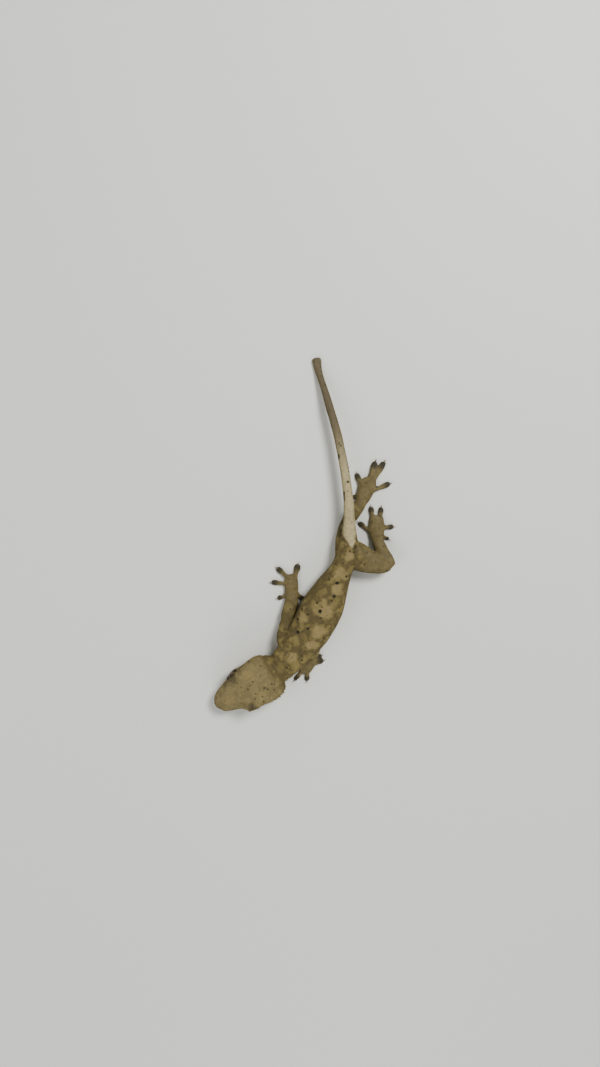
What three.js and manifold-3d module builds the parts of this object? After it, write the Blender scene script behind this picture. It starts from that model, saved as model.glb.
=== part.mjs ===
// A crested gecko, life size, head down and tail up in the frame: head towards -Y, tail towards +Y,
// back towards +Z, soles on the floor at z = 0. Millimetres.
// The whole head, body and tail is one lofted form that is parted by thin cuts. Each leg is a chain of
// lofts, and each piece is cut clear of the piece that it grows from.
import * as THREE from "three";
import { mergeVertices } from "three/addons/utils/BufferGeometryUtils.js";
import Module from "manifold-3d";

const wasm = await Module();
wasm.setup();

// Driving dimensions
const GAP = 0.3; // thin cut between neighbouring pieces
const BODY_SIDES = 17;
const BODY_RINGS = 36;
const HEAD_SIDES = 24;
const HEAD_RINGS = 19;
const CREST_SIDES = 7;
const CREST_RINGS = 11;
const LEG_SIDES = 10;
const LEG_RINGS = 7;
const DIGIT_SIDES = 7;
const DIGIT_RINGS = 6;
const CLAW_SIDES = 5;
const CLAW_RINGS = 5;
const EYE_SIDES = 11;
const EYE_RINGS = 8;
const DIGIT_BASE_WIDE = 1.15; // half widths and half heights of a digit
const DIGIT_PAD_WIDE = 1.65;
const DIGIT_BASE_HIGH = 0.95;
const DIGIT_PAD_HIGH = 0.72;
const CLAW_LENGTH = 1.3;
const CLAW_WIDE = 0.34;
const EYE_RADIUS = 3.0;
const EYE_AHEAD = -0.2; // eye centre from the head's own point
const EYE_OUT = 7.2;
const EYE_HIGH = 10.3;
const MOUTH_HIGH = 6.1;
const MOUTH_BACK = -8.5;

// The head's own frame: its point midway between the eyes, and its heading on the floor
const HEAD_AT = [-25.5, -70.7];
const HEAD_HEADING = THREE.MathUtils.degToRad(213.5);

// Stations are [x, y, z, half width, height above, depth below]
// The head's are in its own frame, from the tip of the snout back into the neck
const HEAD = [
  [15.3, 0, 6.2, 2.0, 0.9, 0.8],
  [14.6, 0, 6.2, 3.3, 1.7, 1.6],
  [13.0, 0, 6.4, 4.7, 2.5, 2.4],
  [10.8, 0, 6.7, 5.8, 3.1, 3.0],
  [7.8, 0, 7.0, 6.8, 4.0, 3.5],
  [4.0, 0, 7.3, 7.8, 5.2, 4.0],
  [0.0, 0, 7.6, 8.6, 6.0, 4.4],
  [-4.0, 0, 7.9, 9.5, 6.3, 4.8],
  [-8.5, 0, 8.2, 10.1, 6.3, 5.1],
  [-12.5, 0, 8.5, 9.8, 5.8, 5.2],
  [-16.0, 0, 8.9, 8.4, 5.0, 5.0],
  [-19.5, 0.3, 9.2, 6.2, 4.0, 3.8],
];
// The ridge that runs from the brow over the eye to the horn at the back of the head, left side
const CREST = [
  [7.2, 4.8, 9.7, 0.8, 0.6, 1.0],
  [3.8, 5.7, 11.7, 1.4, 0.8, 1.4],
  [0.0, 6.4, 12.6, 1.8, 0.8, 1.6],
  [-4.0, 7.5, 12.7, 2.1, 0.8, 2.0],
  [-8.5, 8.8, 12.0, 2.2, 0.8, 2.6],
  [-12.0, 9.1, 11.3, 2.1, 0.8, 3.0],
  [-14.8, 8.7, 10.8, 1.7, 0.7, 2.4],
  [-17.0, 7.4, 10.8, 1.2, 0.6, 1.6],
];
const BODY = [
  [-13.0, -63.3, 9.3, 6.4, 4.4, 4.6],
  [-7.7, -58.8, 9.2, 7.0, 4.6, 5.0],
  [-1.4, -50.9, 9.0, 7.9, 5.2, 6.0],
  [4.5, -42.8, 8.8, 9.2, 6.0, 6.9],
  [9.5, -33.1, 8.8, 9.5, 6.3, 7.3],
  [14.1, -23.3, 8.6, 7.5, 5.5, 6.8],
  [18.4, -14.6, 8.4, 5.1, 4.5, 5.5],
  [20.6, -8.8, 8.3, 4.8, 4.2, 5.0],
  [21.5, -3.0, 8.4, 4.3, 3.7, 4.2],
  [21.6, 2.4, 8.9, 3.2, 2.9, 3.1],
  [21.5, 8.7, 9.2, 2.6, 2.5, 2.5],
  [21.1, 16.7, 9.1, 2.3, 2.2, 2.2],
  [20.1, 24.5, 8.8, 2.15, 2.05, 2.05],
  [18.9, 31.9, 8.4, 2.08, 2.0, 2.0],
  [17.6, 38.3, 7.9, 2.02, 1.95, 1.95],
  [16.3, 44.3, 7.3, 1.98, 1.9, 1.9],
  [14.4, 51.1, 6.4, 1.92, 1.8, 1.8],
  [12.5, 57.4, 5.3, 1.82, 1.7, 1.7],
  [10.9, 62.9, 4.0, 1.68, 1.5, 1.5],
  [9.3, 67.6, 2.7, 1.6, 1.3, 1.3],
  [8.3, 70.8, 1.6, 1.75, 1.05, 1.1],
  [7.6, 73.6, 1.0, 2.0, 0.9, 1.05],
  [7.1, 76.6, 0.85, 2.3, 0.75, 0.9],
];
// Where the body is parted: a point on its midline, and the heading there, towards the tail
const CUTS = [
  { at: [-9.7, -60.6], heading: 40 },
  { at: [-3.4, -53.6], heading: 50 },
  { at: [17.4, -16.6], heading: 65 },
  { at: [21.6, 0.6], heading: 88 },
  { at: [20.4, 23.0], heading: 98 },
  { at: [15.5, 47.5], heading: 107 },
  { at: [8.6, 69.8], heading: 109 },
];
const BODY_NODES = [
  "head",
  "neck",
  "trunk",
  "pelvis",
  "tail_base",
  "tail_middle",
  "tail_end",
  "tail_tip",
];

// Each leg: upper and lower stations, the palm or sole's stations, and its digits.
// A digit is [base x, base y, tip x, tip y, share of the full size].
const LEGS = {
  right_fore: {
    upper: [
      [-3.5, -51.0, 8.6, 3.4, 3.4, 3.6],
      [-6.9, -48.0, 7.0, 3.6, 3.4, 3.4],
      [-6.9, -43.5, 5.7, 3.3, 3.0, 2.9],
      [-6.0, -39.2, 4.7, 2.7, 2.5, 2.4],
    ],
    lower: [
      [-6.0, -40.8, 4.7, 2.6, 2.4, 2.4],
      [-5.3, -37.5, 4.3, 3.4, 2.6, 2.5],
      [-4.2, -33.0, 3.3, 3.4, 2.2, 2.2],
      [-3.7, -29.6, 2.4, 3.0, 1.7, 1.8],
    ],
    foot: [
      [-3.7, -31.2, 2.2, 2.3, 1.4, 1.6],
      [-3.9, -28.0, 1.7, 3.2, 1.5, 1.9],
      [-3.9, -23.5, 1.4, 3.4, 1.3, 1.6],
      [-3.9, -19.6, 1.2, 2.8, 0.9, 1.3],
    ],
    digits: [
      [-6.0, -28.6, -10.3, -29.9, 0.85],
      [-6.2, -23.0, -13.1, -22.4, 1.0],
      [-5.4, -20.2, -10.6, -15.6, 1.05],
      [-2.3, -20.6, -0.9, -14.0, 1.05],
      [-1.6, -27.0, 1.4, -30.6, 0.85],
    ],
  },
  left_fore: {
    upper: [
      [0.6, -53.6, 8.2, 3.2, 3.2, 3.4],
      [4.2, -53.6, 6.6, 3.3, 3.2, 3.2],
      [6.4, -50.0, 4.6, 3.0, 2.7, 2.7],
      [6.6, -46.6, 3.5, 2.3, 2.2, 2.1],
    ],
    lower: [
      [6.9, -47.6, 3.4, 2.2, 2.2, 2.1],
      [7.0, -51.6, 3.3, 2.7, 2.4, 2.2],
      [6.2, -55.8, 2.7, 2.5, 2.0, 1.9],
      [5.2, -58.4, 2.1, 2.3, 1.6, 1.6],
    ],
    foot: [
      [5.6, -56.6, 2.0, 2.2, 1.4, 1.5],
      [4.6, -59.6, 1.7, 3.0, 1.4, 1.8],
      [3.3, -62.4, 1.4, 3.2, 1.2, 1.6],
      [2.3, -65.0, 1.2, 2.6, 0.9, 1.3],
    ],
    digits: [
      [1.6, -61.0, -3.4, -64.0, 0.8],
      [1.4, -64.2, -2.7, -69.5, 0.95],
      [3.6, -64.2, 3.2, -69.8, 0.95],
      [5.6, -61.6, 11.0, -59.6, 1.0],
      [5.6, -59.6, 10.0, -57.2, 0.9],
    ],
  },
  left_hind: {
    upper: [
      [19.5, -6.0, 8.0, 4.6, 3.6, 3.8],
      [24.5, -8.4, 7.9, 6.6, 3.5, 3.9],
      [30.5, -11.2, 7.6, 5.4, 3.5, 3.8],
      [36.2, -13.2, 6.9, 3.9, 3.1, 3.2],
      [39.6, -13.4, 6.3, 2.7, 2.5, 2.5],
    ],
    lower: [
      [40.7, -13.2, 5.6, 2.4, 2.6, 2.5],
      [38.5, -10.6, 5.3, 3.3, 2.8, 2.7],
      [36.1, -6.2, 4.3, 3.1, 2.5, 2.4],
      [34.4, -1.8, 3.1, 2.6, 1.8, 2.0],
    ],
    foot: [
      [34.9, -3.2, 2.6, 2.4, 1.5, 1.7],
      [34.4, -0.2, 1.9, 3.4, 1.6, 2.0],
      [34.3, 3.6, 1.5, 3.8, 1.3, 1.7],
      [34.2, 7.2, 1.2, 3.4, 0.9, 1.3],
    ],
    digits: [
      [36.6, -0.6, 40.2, -2.6, 0.75],
      [36.8, 3.0, 42.0, 3.2, 0.9],
      [35.8, 6.0, 36.3, 12.2, 0.95],
      [32.6, 6.0, 31.6, 12.4, 0.95],
      [31.6, 1.0, 26.2, 5.4, 0.9],
    ],
  },
  right_hind: {
    upper: [
      [19.8, -9.0, 7.2, 4.2, 3.2, 3.8],
      [19.9, -4.0, 5.8, 4.4, 3.0, 3.6],
      [20.2, 2.0, 4.3, 3.7, 2.6, 2.9],
      [20.7, 6.4, 3.7, 2.6, 2.1, 2.3],
    ],
    lower: [
      [20.3, 6.0, 3.6, 2.3, 2.1, 2.2],
      [22.4, 8.4, 3.5, 3.3, 2.2, 2.4],
      [25.0, 11.6, 3.1, 3.1, 2.0, 2.2],
      [27.4, 14.8, 2.6, 2.6, 1.7, 1.9],
    ],
    foot: [
      [26.6, 13.6, 2.4, 2.3, 1.4, 1.6],
      [28.0, 16.6, 1.9, 3.4, 1.5, 2.0],
      [29.4, 20.4, 1.5, 4.0, 1.3, 1.7],
      [31.0, 24.2, 1.2, 3.4, 0.9, 1.3],
    ],
    digits: [
      [27.2, 17.4, 22.6, 16.4, 0.8],
      [27.4, 20.8, 25.0, 27.4, 0.95],
      [30.4, 23.4, 33.4, 32.8, 1.05],
      [31.8, 22.8, 37.4, 32.6, 1.05],
      [32.4, 19.8, 40.2, 22.8, 1.0],
    ],
  },
};

// Skin and claw finishes
const SKIN = { color: 0x8a7a4c, roughness: 0.75, metalness: 0 };
const TAIL = { color: 0xa89c78, roughness: 0.75, metalness: 0 };
const FOOT = { color: 0x6f6546, roughness: 0.8, metalness: 0 };
const CLAW = { color: 0x4a4434, roughness: 0.4, metalness: 0 };
const EYE = { color: 0x3a3626, roughness: 0.15, metalness: 0 };

// A closed form along the stations: a sphere's rows of points are moved to sections of the form,
// whose ends are rounded. Each section lies across the path and stays level from side to side.
function loft(stations, sides, rings, grow = 0, power = 2.2) {
  const path = new THREE.CatmullRomCurve3(
    stations.map(([x, y, z]) => new THREE.Vector3(x, y, z)),
  );
  const sizes = new THREE.CatmullRomCurve3(
    stations.map(([, , , wide, up, down]) => new THREE.Vector3(wide, up, down)),
  );
  const first = stations[0][3];
  const last = stations[stations.length - 1][3];
  const geometry = new THREE.SphereGeometry(1, sides, rings);
  const points = geometry.getAttribute("position");
  const unit = new THREE.Vector3();
  const level = new THREE.Vector3(0, 0, 1);
  for (let i = 0; i < points.count; i++) {
    unit.fromBufferAttribute(points, i);
    const row = Math.acos(THREE.MathUtils.clamp(unit.y, -1, 1)) / Math.PI;
    const ring = Math.round(row * rings);
    const t = capped(ring / rings, rings);
    const at = path.getPoint(t.along);
    const size = sizes.getPoint(t.along);
    const ahead = path.getTangent(t.along);
    const side = new THREE.Vector3().crossVectors(level, ahead).normalize();
    const up = new THREE.Vector3().crossVectors(ahead, side).normalize();
    const round = Math.hypot(unit.x, unit.z) || 1;
    const across = rounded(unit.x / round, power);
    const over = rounded(unit.z / round, power);
    const high = over > 0 ? size.y : size.z;
    at.addScaledVector(ahead, t.past * ((t.along < 0.5 ? first : last) + grow));
    at.addScaledVector(side, across * t.share * (size.x + grow));
    at.addScaledVector(up, over * t.share * (high + grow));
    points.setXYZ(i, at.x, at.y, at.z);
  }
  return outward(solidOf(geometry));
}

// Where a ring sits on the path, how far past its end, and its share of the section's full size.
// The first and last two rings round the ends off.
function capped(share, rings) {
  const step = 1 / rings;
  const inner = (share - 2 * step) / (1 - 4 * step);
  if (share < 1.99 * step) {
    const turn = (share / (2 * step)) * (Math.PI / 2);
    return { along: 0, past: -0.45 * Math.cos(turn), share: Math.sin(turn) };
  }
  if (share > 1 - 1.99 * step) {
    const turn = ((1 - share) / (2 * step)) * (Math.PI / 2);
    return { along: 1, past: 0.45 * Math.cos(turn), share: Math.sin(turn) };
  }
  return { along: THREE.MathUtils.clamp(inner, 0, 1), past: 0, share: 1 };
}

// A sine or cosine drawn towards a rounded box's
function rounded(value, power) {
  return Math.sign(value) * Math.pow(Math.abs(value), 2 / power);
}

function solidOf(geometry) {
  const bare = new THREE.BufferGeometry();
  bare.setAttribute("position", geometry.getAttribute("position"));
  bare.setIndex(geometry.getIndex());
  const merged = mergeVertices(bare, 1e-3);
  const corners = merged.getIndex().array;
  const kept = [];
  for (let i = 0; i < corners.length; i += 3) {
    const [a, b, c] = corners.slice(i, i + 3);
    if (a !== b && b !== c && c !== a) kept.push(a, b, c);
  }
  return new wasm.Manifold(
    new wasm.Mesh({
      numProp: 3,
      vertProperties: merged.getAttribute("position").array,
      triVerts: new Uint32Array(kept),
    }),
  );
}

// The same solid with its faces pointing out
function outward(solid) {
  if (solid.volume() > 0) return solid;
  const { vertProperties, triVerts } = solid.getMesh();
  const turned = triVerts.slice();
  for (let i = 0; i < turned.length; i += 3) {
    [turned[i + 1], turned[i + 2]] = [turned[i + 2], turned[i + 1]];
  }
  return new wasm.Manifold(
    new wasm.Mesh({ numProp: 3, vertProperties, triVerts: turned }),
  );
}

function largest(solid) {
  return solid
    .decompose()
    .reduce((best, body) => (body.volume() > best.volume() ? body : best));
}

function aboveFloor(solid) {
  return solid.trimByPlane([0, 0, 1], 0);
}

function meshOf(solid, name, look) {
  const { vertProperties, triVerts } = largest(solid).getMesh();
  const geometry = new THREE.BufferGeometry();
  geometry.setAttribute(
    "position",
    new THREE.BufferAttribute(vertProperties, 3),
  );
  geometry.setIndex(new THREE.BufferAttribute(triVerts, 1));
  geometry.computeVertexNormals();
  const mesh = new THREE.Mesh(geometry, new THREE.MeshStandardMaterial(look));
  mesh.name = name;
  return mesh;
}

// The head's stations, and a point of its own frame, in the part's frame
function fromHead([ahead, left, z, ...rest]) {
  const cos = Math.cos(HEAD_HEADING);
  const sin = Math.sin(HEAD_HEADING);
  const x = HEAD_AT[0] + ahead * cos - left * sin;
  const y = HEAD_AT[1] + ahead * sin + left * cos;
  return [x, y, z, ...rest];
}

function mirrored([ahead, left, ...rest]) {
  return [ahead, -left, ...rest];
}

function ball(radius, at, sides, rings) {
  const geometry = new THREE.SphereGeometry(radius, sides, rings);
  geometry.rotateX(Math.PI / 2);
  geometry.translate(...at);
  return outward(solidOf(geometry));
}

const gecko = new THREE.Group();

// Head, body and tail as one form
const skull = loft(HEAD.map(fromHead), HEAD_SIDES, HEAD_RINGS, 0, 2.35);
const crests = [CREST, CREST.map(mirrored)].map((ridge) =>
  loft(ridge.map(fromHead), CREST_SIDES, CREST_RINGS, 0, 2),
);
const body = loft(BODY, BODY_SIDES, BODY_RINGS);
const whole = aboveFloor(skull.add(crests[0]).add(crests[1]).add(body));
const grownBody = loft(BODY, BODY_SIDES, BODY_RINGS, GAP);
const grownSkull = loft(HEAD.map(fromHead), HEAD_SIDES, HEAD_RINGS, GAP, 2.35);

// Eyes, and the head round them
const eyes = { left: EYE_OUT, right: -EYE_OUT };
let sockets = null;
for (const [side, out] of Object.entries(eyes)) {
  const at = fromHead([EYE_AHEAD, out, EYE_HIGH]);
  gecko.add(meshOf(ball(EYE_RADIUS, at, EYE_SIDES, EYE_RINGS), `eye_${side}`, EYE));
  const socket = ball(EYE_RADIUS + GAP, at, EYE_SIDES, EYE_RINGS);
  sockets = sockets ? sockets.add(socket) : socket;
}

// The lower jaw is what lies under the mouth line, ahead of the jaw's corner
function jawBox(grow) {
  const length = 30;
  const box = new THREE.BoxGeometry(length + 2 * grow, 40, 20 + 2 * grow);
  box.translate(MOUTH_BACK + length / 2, 0, MOUTH_HIGH - 10);
  box.rotateZ(HEAD_HEADING);
  box.translate(HEAD_AT[0], HEAD_AT[1], 0);
  return outward(solidOf(box));
}

// The pieces of the body, one between each pair of cuts
function between(solid, index) {
  const before = CUTS[index - 1];
  const after = CUTS[index];
  let piece = solid;
  if (before) piece = piece.trimByPlane(...cutPlane(before, 1));
  if (after) piece = piece.trimByPlane(...cutPlane(after, -1));
  return piece;
}

// The plane of a cut, half a gap to one side of it, facing the piece that is kept
function cutPlane({ at, heading }, facing) {
  const turn = THREE.MathUtils.degToRad(heading);
  const normal = [facing * Math.cos(turn), facing * Math.sin(turn), 0];
  const offset = normal[0] * at[0] + normal[1] * at[1] + GAP / 2;
  return [normal, offset];
}

BODY_NODES.forEach((name, index) => {
  let piece = between(whole, index);
  if (name === "head") {
    piece = piece.subtract(sockets);
    gecko.add(meshOf(piece.intersect(jawBox(0)), "jaw", SKIN));
    piece = piece.subtract(jawBox(GAP));
  }
  gecko.add(meshOf(piece, name, name.startsWith("tail") ? TAIL : SKIN));
});

// A digit's stations, from its base inside the palm to its pad at the tip
function digitStations([baseX, baseY, tipX, tipY, share]) {
  const place = (t, z) => [
    THREE.MathUtils.lerp(baseX, tipX, t),
    THREE.MathUtils.lerp(baseY, tipY, t),
    z,
  ];
  const base = [DIGIT_BASE_WIDE, DIGIT_BASE_HIGH, DIGIT_BASE_HIGH].map(
    (size) => size * share,
  );
  const pad = [DIGIT_PAD_WIDE, DIGIT_PAD_HIGH, 0.9].map((size) => size * share);
  return [
    [...place(0, 1.25), ...base],
    [...place(0.42, 1.05), ...base],
    [...place(0.7, 0.75), pad[0], pad[1], pad[2]],
    [...place(0.93, 0.65), 0.8 * pad[0], 0.85 * pad[1], pad[2]],
  ];
}

// A claw springs from the end of its digit and hooks down
function clawStations([baseX, baseY, tipX, tipY, share]) {
  const heading = new THREE.Vector2(tipX - baseX, tipY - baseY).normalize();
  const reach = (ahead) => [
    tipX + heading.x * ahead,
    tipY + heading.y * ahead,
  ];
  const wide = CLAW_WIDE * share;
  return [
    [...reach(-0.5), 1.15, wide, wide, wide],
    [...reach(0.45 * CLAW_LENGTH), 1.2, 0.95 * wide, wide, wide],
    [...reach(0.85 * CLAW_LENGTH), 0.85, 0.75 * wide, 0.75 * wide, 0.7 * wide],
  ];
}

for (const [leg, { upper, lower, foot, digits }] of Object.entries(LEGS)) {
  const form = (stations, grow) =>
    loft(stations, LEG_SIDES, LEG_RINGS, grow, 2.1);
  const digitForm = (digit, grow) =>
    loft(digitStations(digit), DIGIT_SIDES, DIGIT_RINGS, grow, 2.3);

  const upperSolid = aboveFloor(form(upper, 0))
    .subtract(grownBody)
    .subtract(grownSkull);
  const lowerSolid = aboveFloor(form(lower, 0))
    .subtract(form(upper, GAP))
    .subtract(grownBody);
  let footSolid = form(foot, 0);
  let grownFoot = form(foot, GAP);
  for (const digit of digits) {
    footSolid = footSolid.add(digitForm(digit, 0));
    grownFoot = grownFoot.add(digitForm(digit, GAP));
  }
  footSolid = aboveFloor(footSolid)
    .subtract(form(lower, GAP))
    .subtract(form(upper, GAP))
    .subtract(grownBody);

  gecko.add(meshOf(upperSolid, `${leg}_upper`, SKIN));
  gecko.add(meshOf(lowerSolid, `${leg}_lower`, SKIN));
  gecko.add(meshOf(footSolid, `${leg}_foot`, FOOT));
  digits.forEach((digit, index) => {
    const claw = loft(clawStations(digit), CLAW_SIDES, CLAW_RINGS, 0, 2);
    const clear = claw.subtract(grownFoot);
    gecko.add(meshOf(clear, `${leg}_claw_${index + 1}`, CLAW));
  });
}

// The middle of the plan goes over the origin
const middle = new THREE.Box3().setFromObject(gecko).getCenter(new THREE.Vector3());
gecko.position.set(-middle.x, -middle.y, 0);

export default gecko;
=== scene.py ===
"""A crested gecko at life size, lying along a flat surface with its head low.

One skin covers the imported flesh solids. Granular scales, the spiny crest, lip scales, eyes and
claws are set over it as pieces of their own. Lengths are worked out in millimetres, in the frame
that the animal was measured in, and go to metres in the row's frame when a piece is made.
"""

import math
from collections import namedtuple
from itertools import product

import bmesh
import bpy
import numpy as np
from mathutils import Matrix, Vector, noise
from mathutils.bvhtree import BVHTree
from mathutils.kdtree import KDTree

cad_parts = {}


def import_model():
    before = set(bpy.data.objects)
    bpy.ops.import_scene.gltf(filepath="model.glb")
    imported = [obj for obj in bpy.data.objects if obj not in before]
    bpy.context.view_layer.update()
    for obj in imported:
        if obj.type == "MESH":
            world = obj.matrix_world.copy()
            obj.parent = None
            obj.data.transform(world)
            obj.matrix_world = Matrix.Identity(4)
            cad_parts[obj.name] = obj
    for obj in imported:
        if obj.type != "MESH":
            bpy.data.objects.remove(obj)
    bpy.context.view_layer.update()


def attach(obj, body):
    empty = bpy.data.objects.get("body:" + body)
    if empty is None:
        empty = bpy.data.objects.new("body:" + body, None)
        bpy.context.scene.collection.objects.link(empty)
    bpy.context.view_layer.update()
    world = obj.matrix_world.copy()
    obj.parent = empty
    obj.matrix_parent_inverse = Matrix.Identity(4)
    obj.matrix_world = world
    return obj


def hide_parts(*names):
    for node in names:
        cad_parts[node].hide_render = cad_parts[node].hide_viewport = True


bl_info = {
    "name": "Crested gecko",
    "version": (1, 0, 0),
    "blender": (4, 5, 0),
    "location": "3D View > Sidebar > Gecko",
    "description": "Builds a crested gecko over its packed solids",
    "category": "Object",
}

MM = 0.001
MIDDLE = np.array([1.848, -2.069, 0.0])  # the row's origin in the measured frame
SEED = 7
TURN = 2 * math.pi
HALF_PI = math.pi / 2
UP = np.array([0, 0, 1.0])

# The head's frame: where its middle is, and the way that it faces
HEAD_AT = np.array([-25.5, -70.7])
HEAD_COS = math.cos(math.radians(213.5))
HEAD_SIN = math.sin(math.radians(213.5))

# Stations are (x, y, z, half width, height above, depth below). Those of the head and the crest
# are in the head's frame, as (ahead, left, high) and then the same three sizes.
HEAD = (
    (15.3, 0, 6.2, 2.0, 0.9, 0.8), (14.6, 0, 6.2, 3.3, 1.7, 1.6), (13.0, 0, 6.4, 4.7, 2.5, 2.4),
    (10.8, 0, 6.7, 5.8, 3.1, 3.0), (7.8, 0, 7.0, 6.8, 4.0, 3.5), (4.0, 0, 7.3, 7.8, 5.2, 4.0),
    (0.0, 0, 7.6, 8.6, 6.0, 4.4), (-4.0, 0, 7.9, 9.5, 6.3, 4.8), (-8.5, 0, 8.2, 10.1, 6.3, 5.1),
    (-12.5, 0, 8.5, 9.8, 5.8, 5.2), (-16.0, 0, 8.9, 8.4, 5.0, 5.0),
    (-19.5, 0.3, 9.2, 6.2, 4.0, 3.8),
)
CREST = (
    (7.2, 4.8, 9.7, 0.8, 0.6, 1.0), (3.8, 5.7, 11.7, 1.4, 0.8, 1.4),
    (0.0, 6.4, 12.6, 1.8, 0.8, 1.6), (-4.0, 7.5, 12.7, 2.1, 0.8, 2.0),
    (-8.5, 8.8, 12.0, 2.2, 0.8, 2.6), (-12.0, 9.1, 11.3, 2.1, 0.8, 3.0),
    (-14.8, 8.7, 10.8, 1.7, 0.7, 2.4), (-17.0, 7.4, 10.8, 1.2, 0.6, 1.6),
)
BODY = (
    (-13.0, -63.3, 9.3, 6.4, 4.4, 4.6), (-7.7, -58.8, 9.2, 7.0, 4.6, 5.0),
    (-1.4, -50.9, 9.0, 7.9, 5.2, 6.0), (4.5, -42.8, 8.8, 9.2, 6.0, 6.9),
    (9.5, -33.1, 8.8, 9.5, 6.3, 7.3), (14.1, -23.3, 8.6, 7.5, 5.5, 6.8),
    (18.4, -14.6, 8.4, 5.1, 4.5, 5.5), (20.6, -8.8, 8.3, 4.8, 4.2, 5.0),
    (21.5, -3.0, 8.4, 4.3, 3.7, 4.2), (21.6, 2.4, 8.9, 3.2, 2.9, 3.1),
    (21.5, 8.7, 9.2, 2.6, 2.5, 2.5), (21.1, 16.7, 9.1, 2.3, 2.2, 2.2),
    (20.1, 24.5, 8.8, 2.15, 2.05, 2.05), (18.9, 31.9, 8.4, 2.08, 2.0, 2.0),
    (17.6, 38.3, 7.9, 2.02, 1.95, 1.95), (16.3, 44.3, 7.3, 1.98, 1.9, 1.9),
    (14.4, 51.1, 6.4, 1.92, 1.8, 1.8), (12.5, 57.4, 5.3, 1.82, 1.7, 1.7),
    (10.9, 62.9, 4.0, 1.68, 1.5, 1.5), (9.3, 67.6, 2.7, 1.6, 1.3, 1.3),
    (8.3, 70.8, 1.6, 1.75, 1.05, 1.1), (7.6, 73.6, 1.0, 2.0, 0.9, 1.05),
    (7.1, 76.6, 0.85, 2.3, 0.75, 0.9),
)
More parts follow.
